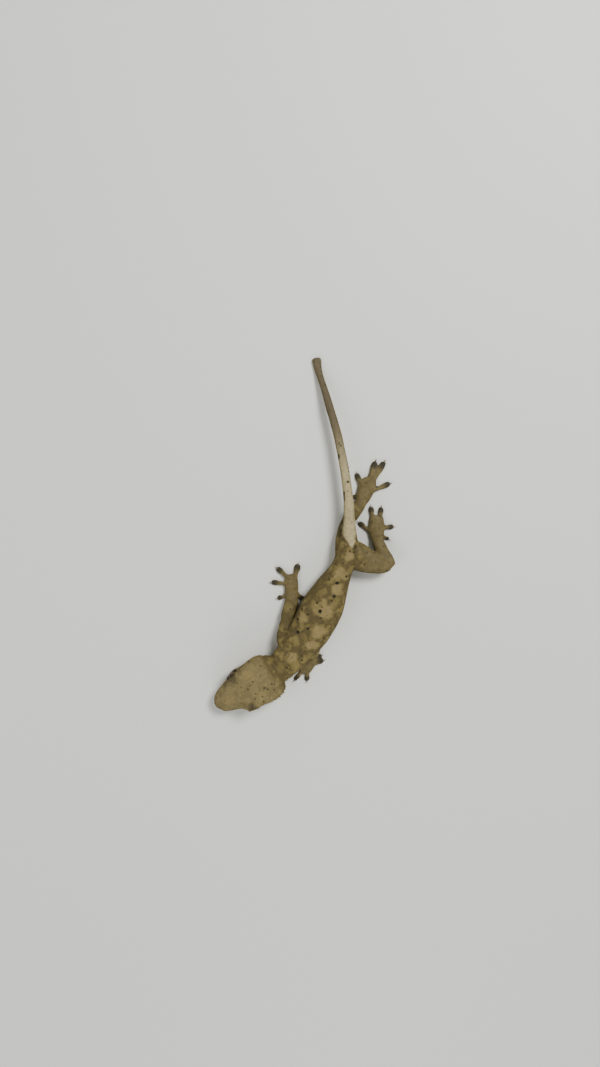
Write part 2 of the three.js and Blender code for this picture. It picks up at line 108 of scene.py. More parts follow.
# A digit is (base x, base y, tip x, tip y, share of the full size)
LEGS = {
    "right_fore": {
        "upper": (
            (-3.5, -51.0, 8.6, 3.4, 3.4, 3.6), (-6.9, -48.0, 7.0, 3.6, 3.4, 3.4),
            (-6.9, -43.5, 5.7, 3.3, 3.0, 2.9), (-6.0, -39.2, 4.7, 2.7, 2.5, 2.4),
        ),
        "lower": (
            (-6.0, -40.8, 4.7, 2.6, 2.4, 2.4), (-5.3, -37.5, 4.3, 3.4, 2.6, 2.5),
            (-4.2, -33.0, 3.3, 3.4, 2.2, 2.2), (-3.7, -29.6, 2.4, 3.0, 1.7, 1.8),
        ),
        "foot": (
            (-3.7, -31.2, 2.2, 2.3, 1.4, 1.6), (-3.9, -28.0, 1.7, 3.2, 1.5, 1.9),
            (-3.9, -23.5, 1.4, 3.4, 1.3, 1.6), (-3.9, -19.6, 1.2, 2.8, 0.9, 1.3),
        ),
        "digits": (
            (-6.0, -28.6, -10.3, -29.9, 0.85), (-6.2, -23.0, -13.1, -22.4, 1.0),
            (-5.4, -20.2, -10.6, -15.6, 1.05), (-2.3, -20.6, -0.9, -14.0, 1.05),
            (-1.6, -27.0, 1.4, -30.6, 0.85),
        ),
    },
    "left_fore": {
        "upper": (
            (0.6, -53.6, 8.2, 3.2, 3.2, 3.4), (4.2, -53.6, 6.6, 3.3, 3.2, 3.2),
            (6.4, -50.0, 4.6, 3.0, 2.7, 2.7), (6.6, -46.6, 3.5, 2.3, 2.2, 2.1),
        ),
        "lower": (
            (6.9, -47.6, 3.4, 2.2, 2.2, 2.1), (7.0, -51.6, 3.3, 2.7, 2.4, 2.2),
            (6.2, -55.8, 2.7, 2.5, 2.0, 1.9), (5.2, -58.4, 2.1, 2.3, 1.6, 1.6),
        ),
        "foot": (
            (5.6, -56.6, 2.0, 2.2, 1.4, 1.5), (4.6, -59.6, 1.7, 3.0, 1.4, 1.8),
            (3.3, -62.4, 1.4, 3.2, 1.2, 1.6), (2.3, -65.0, 1.2, 2.6, 0.9, 1.3),
        ),
        "digits": (
            (1.6, -61.0, -3.4, -64.0, 0.8), (1.4, -64.2, -2.7, -69.5, 0.95),
            (3.6, -64.2, 3.2, -69.8, 0.95), (5.6, -61.6, 11.0, -59.6, 1.0),
            (5.6, -59.6, 10.0, -57.2, 0.9),
        ),
    },
    "left_hind": {
        "upper": (
            (19.5, -6.0, 8.0, 4.6, 3.6, 3.8), (24.5, -8.4, 7.9, 6.6, 3.5, 3.9),
            (30.5, -11.2, 7.6, 5.4, 3.5, 3.8), (36.2, -13.2, 6.9, 3.9, 3.1, 3.2),
            (39.6, -13.4, 6.3, 2.7, 2.5, 2.5),
        ),
        "lower": (
            (40.7, -13.2, 5.6, 2.4, 2.6, 2.5), (38.5, -10.6, 5.3, 3.3, 2.8, 2.7),
            (36.1, -6.2, 4.3, 3.1, 2.5, 2.4), (34.4, -1.8, 3.1, 2.6, 1.8, 2.0),
        ),
        "foot": (
            (34.9, -3.2, 2.6, 2.4, 1.5, 1.7), (34.4, -0.2, 1.9, 3.4, 1.6, 2.0),
            (34.3, 3.6, 1.5, 3.8, 1.3, 1.7), (34.2, 7.2, 1.2, 3.4, 0.9, 1.3),
        ),
        "digits": (
            (36.6, -0.6, 40.2, -2.6, 0.75), (36.8, 3.0, 42.0, 3.2, 0.9),
            (35.8, 6.0, 36.3, 12.2, 0.95), (32.6, 6.0, 31.6, 12.4, 0.95),
            (31.6, 1.0, 26.2, 5.4, 0.9),
        ),
    },
    "right_hind": {
        "upper": (
            (19.8, -9.0, 7.2, 4.2, 3.2, 3.8), (19.9, -4.0, 5.8, 4.4, 3.0, 3.6),
            (20.2, 2.0, 4.3, 3.7, 2.6, 2.9), (20.7, 6.4, 3.7, 2.6, 2.1, 2.3),
        ),
        "lower": (
            (20.3, 6.0, 3.6, 2.3, 2.1, 2.2), (22.4, 8.4, 3.5, 3.3, 2.2, 2.4),
            (25.0, 11.6, 3.1, 3.1, 2.0, 2.2), (27.4, 14.8, 2.6, 2.6, 1.7, 1.9),
        ),
        "foot": (
            (26.6, 13.6, 2.4, 2.3, 1.4, 1.6), (28.0, 16.6, 1.9, 3.4, 1.5, 2.0),
            (29.4, 20.4, 1.5, 4.0, 1.3, 1.7), (31.0, 24.2, 1.2, 3.4, 0.9, 1.3),
        ),
        "digits": (
            (27.2, 17.4, 22.6, 16.4, 0.8), (27.4, 20.8, 25.0, 27.4, 0.95),
            (30.4, 23.4, 33.4, 32.8, 1.05), (31.8, 22.8, 37.4, 32.6, 1.05),
            (32.4, 19.8, 40.2, 22.8, 1.0),
        ),
    },
}
LEG_PARTS = ("upper", "lower", "foot")
# A digit's sections: (share of its length, z, half width, height above, depth below)
DIGIT = (
    (0.0, 1.25, 1.15, 0.95, 0.95), (0.42, 1.05, 1.15, 0.95, 0.95),
    (0.7, 0.75, 1.65, 0.72, 0.9), (0.93, 0.65, 1.32, 0.61, 0.9),
)
# A claw's sections: (distance past the digit's tip, z, half width)
CLAW = ((-0.6, 1.0, 0.26), (0.0, 1.15, 0.25), (0.5, 1.1, 0.17), (0.95, 0.75, 0.05))
# Each kind of loft: the power of its sections, its sides and rings, and its pitch of scales
KINDS = {
    "head": (2.35, 64, 80, 0.42),
    "crest": (2.0, 20, 44, 0.42),
    "body": (2.2, 56, 230, 0.55),
    "upper": (2.1, 36, 36, 0.5),
    "lower": (2.1, 36, 36, 0.46),
    "foot": (2.1, 36, 36, 0.4),
    "digit": (2.3, 28, 26, 0.36),
    "claw": (2.0, 12, 14, 0.0),
}
BODY_NODES = (
    "head", "jaw", "neck", "trunk", "pelvis", "tail_base", "tail_middle", "tail_end", "tail_tip",
)

CAP = 0.08  # share of a loft's rings that close each of its ends
CAP_LENGTH = 0.45  # how far an end stands out, as a share of its half width
INSET = 0.16  # the skin under the scales lies this far inside the solids
VOXEL = 0.42
FACE_BACK = -15.5  # the skin ahead of this has finer faces
FLOOR_GAP = 0.02

EYE_RADIUS = 3.0
# The left eye's centre and the way that it looks, as (ahead, left, high) in the head's frame
EYE_CENTRE = np.array([-0.2, 7.2, 10.3])
EYE_AIM = np.array([0.22, 0.93, 0.28])
LIDS_WIDE = 3.9
LID_RIM = 2.55
LID_FADE = 2.1
LIDS_LOW = 0.25  # the opening's middle lies this far under the ball's
MOUTH_HIGH = 6.1
MOUTH_CURVE = 0.0098
MUZZLE_AHEAD = 6.0  # the mouth rises behind this
NOSTRIL = np.array([[13.1], [3.3], [7.9]])
EAR = (-11.4, 8.1)  # ahead, high
NECK_CREASES = ((-15.2, 0.42), (-17.6, 0.26), (-19.8, 0.38), (-22.6, 0.22))  # ahead, depth

# Dark flecks of the back and hips: (x, y, radius)
BODY_FLECKS = (
    (-0.9, -41.9, 0.85), (8.8, -32.0, 0.95), (15.0, -25.4, 0.8), (16.2, -19.5, 0.85),
    (26.7, -1.6, 0.9), (3.5, -33.6, 0.5), (3.5, -40.0, 0.6), (0.9, -31.8, 0.5), (7.5, -28.3, 0.6),
    (-0.9, -36.4, 0.5), (20.4, -16.8, 0.6), (13.9, -27.2, 0.45), (12.9, -18.1, 0.4),
    (9.3, -35.0, 0.45), (-4.4, -33.6, 0.4), (-6.7, -42.4, 0.35), (10.7, -44.7, 0.4),
    (0.9, -55.2, 0.5), (21.9, -5.7, 0.5), (23.4, -6.1, 0.5), (24.1, -4.2, 0.35), (34.5, 4.1, 0.45),
    (-5.9, -27.2, 0.4),
)
TAIL_FLECKS = (
    (20.7, 24.8, 0.7), (16.7, 41.1, 0.42), (17.6, 40.2, 0.42), (20.9, 30.8, 0.4),
    (20.9, 29.1, 0.32), (11.1, 65.9, 0.38), (18.9, 8.7, 0.45),
)
# Dark streaks of the tail: (x, y, half width, half length)
TAIL_STREAKS = ((19.1, 18.4, 0.5, 2.6), (16.7, 35.4, 0.45, 1.7))
# Dark flecks of the head, in its own frame: (ahead, left, radius)
HEAD_FLECKS = (
    (-10.3, -10.8, 0.55), (-9.2, 3.0, 0.5), (-10.2, 4.3, 0.4), (-13.0, 3.3, 0.45),
    (-12.3, 6.4, 0.4), (-6.7, -2.2, 0.4), (-4.5, -1.3, 0.35), (-2.7, -0.3, 0.45),
    (-0.5, -2.7, 0.28), (-1.0, -0.1, 0.28), (-11.0, -2.8, 0.28), (-24.5, 0.3, 0.5),
    (-24.5, 1.5, 0.35), (-20.3, -7.3, 0.5), (-20.2, -8.6, 0.5),
)
# Pale patches of the back, as (x, y, radius), and of the head, as (ahead, left, radius)
PATCHES = (
    (17.5, -15.0, 3.48), (16.3, -22.7, 3.24), (11.0, -31.2, 5.16), (1.3, -35.4, 2.52),
    (8.0, -41.2, 3.6), (21.8, -7.4, 2.4), (5.3, -48.2, 2.88), (-4.2, -53.6, 2.88),
)
HEAD_PATCHES = ((-6.0, 5.5, 3.2), (-6.5, -5.5, 3.4), (8.5, 0.0, 3.6))
TAIL_X, TAIL_Y, TAIL_Z, TAIL_WIDE = np.array([row[:4] for row in BODY if row[1] > -10]).T
SPECK_SIZE = 0.62
SPECK_RARE = 0.985
NET_SIZE = 5.2
TAIL_LENGTH = 74.0
PAD_AT = 0.86  # where a toe pad's middle lies along its digit

MASKS = ("head_share", "tail_share", "tail_run", "pale", "fleck", "net", "leg", "pad", "under")
# The ground's two colours, the tail's from base to tip, and what each mask mixes over, in order. The
# flecks' dark brown also paints the shade round the eyes.
GROUND = ("6a5f39", "776b43")
TAIL_COLOURS = ("9c9272", "5f5642")
OVERLAYS = (
    ("head_share", "786d4c"), ("leg", "695f42"), ("net", "554b2f"), ("pale", "7f714d"),
    ("tail_share", None), ("under", "a3966f"), ("pad", "3c3829"), ("fleck", "17120a"),
)

RING = np.linspace(0, TURN, 73)
TAIL_FINER = 0.11
HEAD_REACH, REACH = 1.7, 1.0  # a place this far off the skin has no scale
# Shares of a scale's pitch: between rows, at random, to a scale of its own loft and of another
ROW_GAP, ROW_ODDS, OWN_GAP, OTHER_GAP = 0.87, 0.1, 0.55, 0.72
# Scales nearer than the first share push each other away, by the second share of what lacks
CROWDED, PUSH = 1.15, 0.3
# A spot as far as the first share from any scale is bare. Fill keeps the second from fill.
BARE_GAP, FILL_GAP = 0.8, 0.86
NEIGHBOURS = 6
LEAST_FIT, MOST_FIT = 0.8, 1.45  # how far a scale's size may go from its pitch to fit its gap
PIECE_LIMIT = 8800  # scales in one piece at most
PATCH = 0.003  # width of one scale on the bake map
# Strips of the legs and the digits on the bake map: (kinds, bottom, columns, step, size)
STRIP_GRIDS = (
    (LEG_PARTS, 0.49, 4, (0.245, 0.115), (0.225, 0.105)),
    (("digit",), 0.845, 10, (0.097, 0.075), (0.09, 0.068)),
)
# Each coat piece, and how the names of the lofts that it covers start
COATS = {
    "head_scales": ("head", "crest"),
    "body_scales": ("body",),
    "fore_leg_scales": ("right_fore", "left_fore"),
    "hind_leg_scales": ("right_hind", "left_hind"),
}
LASH_TURNS = np.radians(np.arange(28, 163, 11))
# Rows of crest spines: (start, turn to the side, share of the full size)
CREST_ROWS = ((10.6, 0.0, 1.0), (10.9, 0.42, 0.66), (11.2, -0.45, 0.55))
LIP_ROWS = ((0.52, 1.05), (-0.5, 0.95))  # height over the mouth, length of a scale
LID_RINGS = (2.62, 2.9, 3.18, 3.48, 3.8)
MUZZLE_TURN = 7.0  # lip scales nearer the middle than this are set round the muzzle

# Each lamp: its name, its place in metres, its width and its power
LAMPS = (
    ("Key", (0.42, 0.55, 0.85), 0.35, 13.0),
    ("Fill", (-0.7, -0.3, 0.7), 0.9, 4.0),
    ("Rim", (0.1, -0.9, 0.5), 0.6, 3.0),
)
TILT = math.radians(11)
LENS = 28
SENSOR = 36
PHOTO_HIGH = 1067
MM_PER_PIXEL = 0.45

Root = namedtuple("Root", "loft place normal way pitch share turn")
# Things that later operators need from earlier ones
made = {}


def srgb(code):
    """A colour from its six hex digits, as the shaders use it."""
    parts = [int(code[i : i + 2], 16) / 255 for i in (0, 2, 4)]
    linear = [c / 12.92 if c <= 0.04045 else ((c + 0.055) / 1.055) ** 2.4 for c in parts]
    return (*linear, 1.0)


def smooth_step(low, high, value):
    t = np.clip((value - low) / (high - low), 0.0, 1.0)
    return t * t * (3 - 2 * t)


def bump(value, width):
    return np.exp(-((value / width) ** 2))


def unit(vectors):
    return vectors / np.maximum(np.linalg.norm(vectors, axis=-1, keepdims=True), 1e-6)


def to_row(points):
    """Millimetres of the measured frame to metres of the row's frame."""
    return (np.asarray(points, float) - MIDDLE) * MM


def from_row(points):
    return np.asarray(points, float) / MM + MIDDLE


def head_to_world(points):
    """Points given as (ahead, left, high) of the head, in the measured frame."""
    ahead, left, high = np.atleast_2d(np.asarray(points, float)).T
    x = HEAD_AT[0] + ahead * HEAD_COS - left * HEAD_SIN
    y = HEAD_AT[1] + ahead * HEAD_SIN + left * HEAD_COS
    return np.stack([x, y, high], axis=1)


def world_to_head(points):
    x, y, z = np.asarray(points, float).T
    dx, dy = x - HEAD_AT[0], y - HEAD_AT[1]
    return np.stack([dx * HEAD_COS + dy * HEAD_SIN, dy * HEAD_COS - dx * HEAD_SIN, z], axis=1)


def turbulence(points, size, octaves=2):
    """Smooth noise about 0 at each point, with features of the given size in millimetres."""
    scaled = (points / size).tolist()
    return np.array([noise.fractal(Vector(p), 1.0, 2.0, octaves) for p in scaled])


def run_along(points):
    """The distance from the first point to each, along the line through them."""
    steps = np.linalg.norm(np.diff(points, axis=0), axis=1)
    return np.concatenate([[0], np.cumsum(steps)])


class Path:
    """A centripetal curve through rows of numbers, read at shares of its control points."""

    def __init__(self, rows):
        self.count = len(rows)
        self.rows = np.vstack([2 * rows[0] - rows[1], rows, 2 * rows[-1] - rows[-2]])
        gaps = np.linalg.norm(np.diff(self.rows, axis=0), axis=1) ** 0.5
        self.gaps = np.maximum(gaps, 1e-4)

    def at(self, t):
        t = np.atleast_1d(np.asarray(t, float))
        place = np.clip(t, 0, 1) * (self.count - 1)
        i = np.minimum(place.astype(int), self.count - 2)
        w = (place - i)[:, None]
        x0, x1, x2, x3 = (self.rows[i + k] for k in range(4))
        d0, d1, d2 = (self.gaps[i + k][:, None] for k in range(3))
        t1 = ((x1 - x0) / d0 - (x2 - x0) / (d0 + d1) + (x2 - x1) / d1) * d1
        t2 = ((x2 - x1) / d1 - (x3 - x1) / (d1 + d2) + (x3 - x2) / d2) * d1
        c2 = -3 * x1 + 3 * x2 - 2 * t1 - t2
        c3 = 2 * x1 - 2 * x2 + t1 + t2
        return x1 + w * (t1 + w * (c2 + w * c3))


class Loft:
    """The form that a list of stations gives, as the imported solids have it."""

    def __init__(self, name, stations, inset=0.0):
        rows = np.asarray(stations, float)
        kind = next(kind for kind in KINDS if kind in name)
        self.name = name
        self.inset = inset
        self.power, self.sides, self.rings, self.pitch = KINDS[kind]
        self.path = Path(rows[:, :3])
        self.sizes = Path(rows[:, 3:])
        self.first = rows[0, 3]
        self.last = rows[-1, 3]
        self.steps = np.linspace(0, 1, 241)
        self.run = run_along(self.path.at(self.steps))
        self.length = self.run[-1]

    def share(self, distance):
        """The path's share at a distance along it."""
        return np.interp(distance, self.run, self.steps)

    def distance(self, share):
        return np.interp(share, self.steps, self.run)

    def frames(self, t):
        ahead = self.path.at(np.minimum(t + 1e-3, 1)) - self.path.at(np.maximum(t - 1e-3, 0))
        ahead = unit(ahead)
        side = unit(np.cross(UP, ahead))
        return ahead, side, np.cross(ahead, side)

    def surface(self, t, angle, past=0.0, share=1.0):
        """Points at shares t of the path and angles round it: 0 is its left side, a quarter up."""
        t = np.atleast_1d(np.asarray(t, float))
        ahead, side, up = self.frames(t)
        size = self.sizes.at(t) - self.inset
        cos, sin = np.cos(angle), np.sin(angle)
        across = np.sign(cos) * np.abs(cos) ** (2 / self.power)
        over = np.sign(sin) * np.abs(sin) ** (2 / self.power)
        high = np.where(over > 0, size[:, 1], size[:, 2])
        end = np.where(t < 0.5, self.first, self.last) - self.inset
        spot = self.path.at(t) + ahead * (past * end)[:, None]
        spot = spot + side * (across * share * size[:, 0])[:, None]
        return spot + up * (over * share * high)[:, None]


def on_digit(digit, t):
    bx, by, tx, ty, _ = digit
    return bx + (tx - bx) * t, by + (ty - by) * t


def digit_stations(digit):
    share = digit[4]
    return [
        (*on_digit(digit, t), z, wide * share, up * share, down * share)
        for t, z, wide, up, down in DIGIT
    ]


def claw_stations(digit):
    bx, by, tx, ty, share = digit
    heading = unit(np.array([tx - bx, ty - by]))
    return [
        (tx + heading[0] * reach, ty + heading[1] * reach, z, *[wide * share] * 3)
        for reach, z, wide in CLAW
    ]


def head_stations(stations, side=1):
    rows = np.asarray(stations, float)
    rows[:, 1] *= side
    rows[:, :3] = head_to_world(rows[:, :3])
    return rows


def all_lofts():
    """Every loft of the animal's flesh, by name, in the order that scales are set."""
    stations = {
        "head": head_stations(HEAD),
        "crest_left": head_stations(CREST),
        "crest_right": head_stations(CREST, -1),
        "body": BODY,
    }
    for leg, parts in LEGS.items():
        for part in LEG_PARTS:
            stations[f"{leg}_{part}"] = parts[part]
        for index, digit in enumerate(parts["digits"], 1):
            stations[f"{leg}_digit_{index}"] = digit_stations(digit)
    return {name: Loft(name, rows, INSET) for name, rows in stations.items()}


def made_mesh(name, work):
    """A mesh of what an edit mesh holds. The edit mesh is freed."""
    mesh = bpy.data.meshes.new(name)
    work.to_mesh(mesh)
    work.free()
    return mesh


def loft_mesh(name, lofts):
    """One mesh of lofts with round ends: each is a sphere's points, moved to its sections."""
    whole = bmesh.new()
    for loft in lofts:
        work = bmesh.new()
        bmesh.ops.create_uvsphere(work, u_segments=loft.sides, v_segments=loft.rings, radius=1.0)
        co = np.array([v.co for v in work.verts])
        row = np.arccos(np.clip(co[:, 2], -1, 1)) / math.pi
        angle = np.arctan2(co[:, 1], co[:, 0])
        start = np.clip((CAP - row) / CAP, 0, 1)
        end = np.clip((row - 1 + CAP) / CAP, 0, 1)
        past = -CAP_LENGTH * np.sin(start * HALF_PI) + CAP_LENGTH * np.sin(end * HALF_PI)
        share = np.cos(np.maximum(start, end) * HALF_PI)
        t = np.clip((row - CAP) / (1 - 2 * CAP), 0, 1)
        for vert, place in zip(work.verts, loft.surface(t, angle, past, share)):
            vert.co = place
        part = made_mesh("Part", work)
        whole.from_mesh(part)
        bpy.data.meshes.remove(part)
    return made_mesh(name, whole)


def new_object(name, mesh, smooth=True):
    obj = bpy.data.objects.new(name, mesh)
    bpy.context.scene.collection.objects.link(obj)
    if smooth:
        mesh.polygons.foreach_set("use_smooth", [True] * len(mesh.polygons))
    return obj


def vectors_of(items, key):
    values = np.empty(len(items) * 3)
    items.foreach_get(key, values)
    return values.reshape(-1, 3)


def put(items, key, values, kind=np.float32):
    items.foreach_set(key, np.ascontiguousarray(values, dtype=kind).ravel())


def mesh_points(mesh):
    return vectors_of(mesh.vertices, "co")


def mesh_normals(mesh):
    return vectors_of(mesh.vertex_normals, "vector")


def set_points(mesh, points):
    put(mesh.vertices, "co", points)
    mesh.update()


def even_out(mesh, rounds):
    """Moves each point half the way to the middle of its neighbours."""
    points = mesh_points(mesh)
    edges = np.empty(len(mesh.edges) * 2, dtype=np.int64)
    mesh.edges.foreach_get("vertices", edges)
    a, b = edges.reshape(-1, 2).T
    count = np.maximum(np.bincount(edges, minlength=len(points)).astype(float)[:, None], 1)
    for _ in range(rounds):
        total = np.zeros_like(points)
        np.add.at(total, a, points[b])
        np.add.at(total, b, points[a])
        points = points + 0.5 * (total / count - points)
    set_points(mesh, points)


def eye_frame(sign):
    """An eye's centre, and its directions outward, ahead and up, in the measured frame."""
    side = np.array([1, sign, 1])
    spots = [EYE_CENTRE * side, (0, 0, 0), EYE_AIM * side, (1, 0, 0)]
    centre, origin, aim, front = head_to_world(spots)
    out = unit(aim - origin)
    ahead = front - origin
    ahead = unit(ahead - out * (ahead @ out))
    return centre, out, ahead, np.cross(ahead, out) * sign


EYES = {"left": eye_frame(1), "right": eye_frame(-1)}


# The skin


def mouth_at(a):
    """How high the mouth's line is at a distance ahead."""
    return MOUTH_HIGH + MOUTH_CURVE * np.minimum(a - MUZZLE_AHEAD, 0) ** 2


def head_relief(points, normals):
    """How far each point of the head moves along its normal. It lies a ahead, l left and z high."""
    a, l, z = world_to_head(points).T
    wide = np.abs(l)
    up = normals[:, 2]
    upper = smooth_step(0.1, 0.7, up)
    side = 1 - smooth_step(0.55, 0.85, np.abs(up))
    move = np.zeros(len(points))
    # The crown sinks between the crests, and the muzzle between its two ridges
    move -= 0.75 * upper * bump(wide, 4.6) * smooth_step(-15, -10, a) * (1 - smooth_step(-1, 4, a))
    move -= 0.35 * upper * bump(wide, 2.2) * smooth_step(2, 5, a) * (1 - smooth_step(10, 13, a))
    move += 0.18 * upper * bump(wide - (6.6 - 0.32 * a), 0.9) * smooth_step(2, 5, a)
    # Lips, parted by the mouth
    inside = smooth_step(-9.2, -7.4, a)
    gap = z - mouth_at(a)
    move -= 0.55 * bump(gap, 0.24) * inside * side
    move += 0.16 * bump(gap - 0.8, 0.5) * inside * side
    move += 0.12 * bump(gap + 0.8, 0.5) * inside * side
    # Cheek and the corner of the jaw
    move += 0.22 * bump(a + 9.5, 3.0) * bump(z - 6.4, 2.0) * side
    # Nostrils, each in a low rim
    nostril = np.sqrt(((np.stack([a, wide, z]) - NOSTRIL) ** 2).sum(axis=0))
    move += 0.16 * bump(nostril - 0.75, 0.35)
    move -= 0.6 * bump(nostril, 0.42)
    # Ear openings, taller than wide, each in a low rim
    ear = np.sqrt(((a - EAR[0]) / 0.75) ** 2 + ((z - EAR[1]) / 1.15) ** 2)
    beside = (wide > 6.5) * side
    move += 0.14 * bump(ear - 1.25, 0.4) * beside
    move -= 0.8 * bump(ear, 0.62) * beside
    wave = turbulence(points, 4.0, 1)
    for place, depth in NECK_CREASES:
        move -= depth * bump(a - place + 1.1 * wave + 0.012 * l * l, 0.5)
    return move * smooth_step(-27, -23, a)


def body_relief(points):
    """Low dents all over the skin, deeper on the trunk and the legs than on the tail."""
    dents = 0.16 * turbulence(points, 7.0) + 0.07 * turbulence(points, 2.2)
    return dents * (0.4 + 0.6 * (1 - smooth_step(-2, 6, points[:, 1])))


def socket_points(points):
    """Seats the skin round each eye: a hollow for the ball, lids that hug it, and a brow over it."""
    for centre, out, ahead, up in EYES.values():
        v = points - centre
        along, x, y = v @ out, v @ ahead, v @ up
        across = np.sqrt((x / 1.08) ** 2 + ((y + LIDS_LOW) / 0.95) ** 2)
        near = (across < 8.0) & (along > -3.5) & (along < 4.5)
        s, high, x, y = across[near], along[near], x[near], y[near]
        brow = smooth_step(0.3, 2.3, y) * (1 - smooth_step(2.2, 4.2, np.abs(x)))
        lid_radius = EYE_RADIUS + 0.3 + 0.6 * brow
        ball = np.sqrt(np.maximum(EYE_RADIUS**2 - s**2, 0))
        lid = np.sqrt(np.maximum(lid_radius**2 - np.minimum(s, LID_RIM) ** 2, 0))
        # Past the rim of the lids the mound falls off slowly to the cheek and the crown
        share = bump(np.maximum(s - LID_RIM, 0), LID_FADE) * smooth_step(-3.5, -1.2, high)
        lid *= share
        opening = smooth_step(2.1, 2.4, s)
        inner = (ball - 1.0) * (1 - opening) + lid * opening
        outer = high + np.maximum(lid - high * share, 0)
        changed = np.where(s < LID_RIM, inner, outer)
        points[near] += out * (changed - high)[:, None]
    return points


def build_skin(lofts):
    mesh = loft_mesh("Skin rough", lofts.values())
    rough = new_object("Skin rough", mesh)
    remesh = rough.modifiers.new("One surface", "REMESH")
    remesh.mode = "VOXEL"
    remesh.voxel_size = VOXEL
    remesh.adaptivity = 0.0
    ready = rough.evaluated_get(bpy.context.evaluated_depsgraph_get())
    skin = bpy.data.meshes.new_from_object(ready)
    bpy.data.objects.remove(rough)
    bpy.data.meshes.remove(mesh)
    skin.name = "Skin"
    even_out(skin, 5)
    # Finer faces on the face
    ahead = world_to_head(mesh_points(skin))[:, 0]
    work = bmesh.new()
    work.from_mesh(skin)
    face = [edge for edge in work.edges if ahead[edge.verts[0].index] > FACE_BACK]
    bmesh.ops.subdivide_edges(work, edges=face, cuts=1, use_grid_fill=True)
    bmesh.ops.triangulate(work, faces=[f for f in work.faces if len(f.verts) > 4])
    work.to_mesh(skin)
    work.free()
    even_out(skin, 1)
    points, normals = mesh_points(skin), mesh_normals(skin)
    relief = head_relief(points, normals) + body_relief(points)
    points = socket_points(points + normals * relief[:, None])
    points[:, 2] = np.maximum(points[:, 2], FLOOR_GAP)
    set_points(skin, points)
    return skin


# Markings


def beside_body(points):
    """How far to the side of the body's midline each point lies, as a share of its half width."""
    t = np.linspace(0, 1, 90)
    rows = np.array(BODY, float)
    line, wide = Path(rows[:, :3]).at(t)[:, :2], Path(rows[:, 3:]).at(t)[:, 0]
    result = []
    for part in np.array_split(points[:, :2], max(len(points) // 20000, 1)):
        far = np.linalg.norm(part[:, None, :] - line[None, :, :], axis=2)
        nearest = np.argmin(far, axis=1)
        result.append(far[np.arange(len(part)), nearest] / wide[nearest])
    return np.concatenate(result)


def spots(u, v, rows, low, high, ragged):
    """1 inside the spots and 0 outside: a row is (u, v, radius) or (u, v, radius u, radius v)."""
    best = np.zeros(len(u))
    for pu, pv, *radii in rows:
        far = np.hypot((u - pu) / radii[0], (v - pv) / radii[-1])
        best = np.maximum(best, 1 - smooth_step(low, high, far + ragged))
    return best


def tail_mask(points, warp):
    """The tail's cream, which starts as a point on the rump, a little left of the midline."""
    x, y, z = points.T
    middle = np.interp(y, TAIL_Y, TAIL_X)
    lean = np.interp(y, (-4.0, 2.4), (1.4, 0.0))
    start = smooth_step(0.5, -0.5, np.abs(x - middle - lean) - 0.5 * (y + 4.6) + 0.5 * warp)
    reach = np.interp(y, (2.0, 8.0), (5.2, 3.2))
    level = np.abs(z - np.interp(y, TAIL_Y, TAIL_Z))
    beside = np.abs(x - middle)
    share = start * smooth_step(reach, reach - 1.2, level) * smooth_step(4.2, 2.9, beside)
    share = share * np.where(y < 3, smooth_step(6.5, 8.5, z), 1)
    edge = smooth_step(0.5, 1.0, beside / np.interp(y, TAIL_Y, TAIL_WIDE) + 0.25 * warp)
    return share * (1 - 0.45 * edge)


